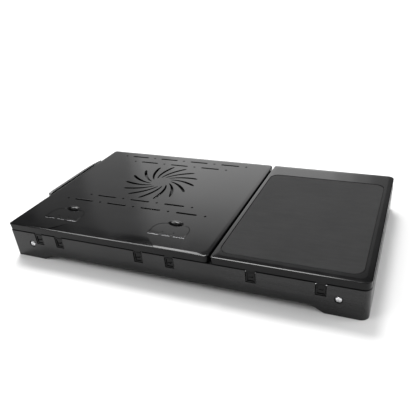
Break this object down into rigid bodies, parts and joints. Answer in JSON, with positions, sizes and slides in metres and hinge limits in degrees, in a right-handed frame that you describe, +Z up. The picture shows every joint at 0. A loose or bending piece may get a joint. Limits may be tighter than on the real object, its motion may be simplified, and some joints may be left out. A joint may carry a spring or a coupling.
{
  "type": "laptop cooling table",
  "caption": "Flat laptop table: tilting panel with a fan grille and flip-up stops, mouse mat lid over a storage bin, side drawer and folding legs.",
  "frame": {"origin": "bottom centre of the whole object's box, with the side drawer standing a little open", "axes": "+X along the length towards the mouse mat, +Y away from the user, +Z up"},
  "size_m": [0.6378, 0.3358, 0.0672],
  "materials": {
    "gloss_black": "high gloss with faint wipe marks",
    "satin_black": "satin, finely grained",
    "inner_black": "as moulded, matt",
    "mat_grey": "closely woven cloth",
    "rubber_black": "matt",
    "bright_steel": "bright plated",
    "motor_copper": "enamelled winding"
  },
  "bodies": {
    "base": {"base_shell": "satin_black", "laptop_deck": "inner_black", "storage_bin": "inner_black", "drawer_rail_front": "inner_black", "drawer_rail_rear": "inner_black", "leg_screw_front_left": "bright_steel", "leg_screw_rear_left": "bright_steel", "leg_screw_front_right": "bright_steel", "leg_screw_rear_right": "bright_steel", "leg_nut_front_left": "bright_steel", "leg_nut_rear_left": "bright_steel", "leg_nut_front_right": "bright_steel", "leg_nut_rear_right": "bright_steel", "panel_hinge_pin_1": "bright_steel", "panel_hinge_pin_2": "bright_steel", "panel_hinge_pin_3": "bright_steel", "panel_hinge_pin_4": "bright_steel", "lid_hinge_pin_1": "bright_steel", "lid_hinge_pin_2": "bright_steel"},
    "tilting_panel": {"laptop_panel": "gloss_black", "fan_frame": "inner_black", "fan_stator": "motor_copper", "power_inlet": "bright_steel", "fan_lead": "rubber_black", "fan_screw_front_left": "bright_steel", "fan_screw_rear_left": "bright_steel", "fan_screw_front_right": "bright_steel", "fan_screw_rear_right": "bright_steel", "stop_pin_left": "bright_steel", "stop_pin_right": "bright_steel", "prop_clip_left": "inner_black", "prop_clip_right": "inner_black"},
    "prop": {"prop_bail": "bright_steel", "prop_sleeve_left": "rubber_black", "prop_sleeve_right": "rubber_black"},
    "fan_rotor": {"fan_rotor": "inner_black"},
    "stop_left": {"laptop_stop_left": "gloss_black"},
    "stop_right": {"laptop_stop_right": "gloss_black"},
    "mouse_lid": {"mouse_panel": "gloss_black", "mouse_mat": "mat_grey"},
    "drawer": {"side_drawer": "inner_black", "drawer_front": "satin_black"},
    "leg_left": {"leg_arm_front_left": "satin_black", "leg_arm_rear_left": "satin_black", "leg_foot_front_left": "rubber_black", "leg_foot_rear_left": "rubber_black", "leg_crossbar_left": "satin_black"},
    "leg_right": {"leg_arm_front_right": "satin_black", "leg_arm_rear_right": "satin_black", "leg_foot_front_right": "rubber_black", "leg_foot_rear_right": "rubber_black", "leg_crossbar_right": "satin_black"}
  },
  "joints": [
    {"name": "panel_tilt", "type": "hinge", "parent": "base", "child": "tilting_panel", "pos_m": [-0.09915, -0.165, 0.0475], "axis": [1, 0, 0], "range_deg": [0, 30]},
    {"name": "prop_swing", "type": "hinge", "parent": "tilting_panel", "child": "prop", "pos_m": [-0.09915, -0.015, 0.0555], "axis": [1, 0, 0], "range_deg": [-60, 0]},
    {"name": "fan_spin", "type": "hinge", "parent": "tilting_panel", "child": "fan_rotor", "pos_m": [-0.09915, 0.043, 0.055], "axis": [0, 0, 1], "continuous": true},
    {"name": "stop_left_flip", "type": "hinge", "parent": "tilting_panel", "child": "stop_left", "pos_m": [-0.20015, -0.1305, 0.0613], "axis": [1, 0, 0], "range_deg": [0, 95]},
    {"name": "stop_right_flip", "type": "hinge", "parent": "tilting_panel", "child": "stop_right", "pos_m": [0.00185, -0.1305, 0.0613], "axis": [1, 0, 0], "range_deg": [0, 95]},
    {"name": "mouse_lid_hinge", "type": "hinge", "parent": "base", "child": "mouse_lid", "pos_m": [0.20335, -0.165, 0.0475], "axis": [1, 0, 0], "range_deg": [0, 70]},
    {"name": "drawer_slide", "type": "slide", "parent": "base", "child": "drawer", "axis": [-1, 0, 0], "range_m": [-0.0294, 0.08]},
    {"name": "leg_left_fold", "type": "hinge", "parent": "base", "child": "leg_left", "pos_m": [-0.24015, 0, 0.028], "axis": [0, 1, 0], "range_deg": [0, 100]},
    {"name": "leg_right_fold", "type": "hinge", "parent": "base", "child": "leg_right", "pos_m": [0.27785, 0, 0.028], "axis": [0, -1, 0], "range_deg": [0, 100]}
  ],
  "couplings": [
    {"joint": "prop_swing", "follows": "panel_tilt", "ratio": -2}
  ]
}
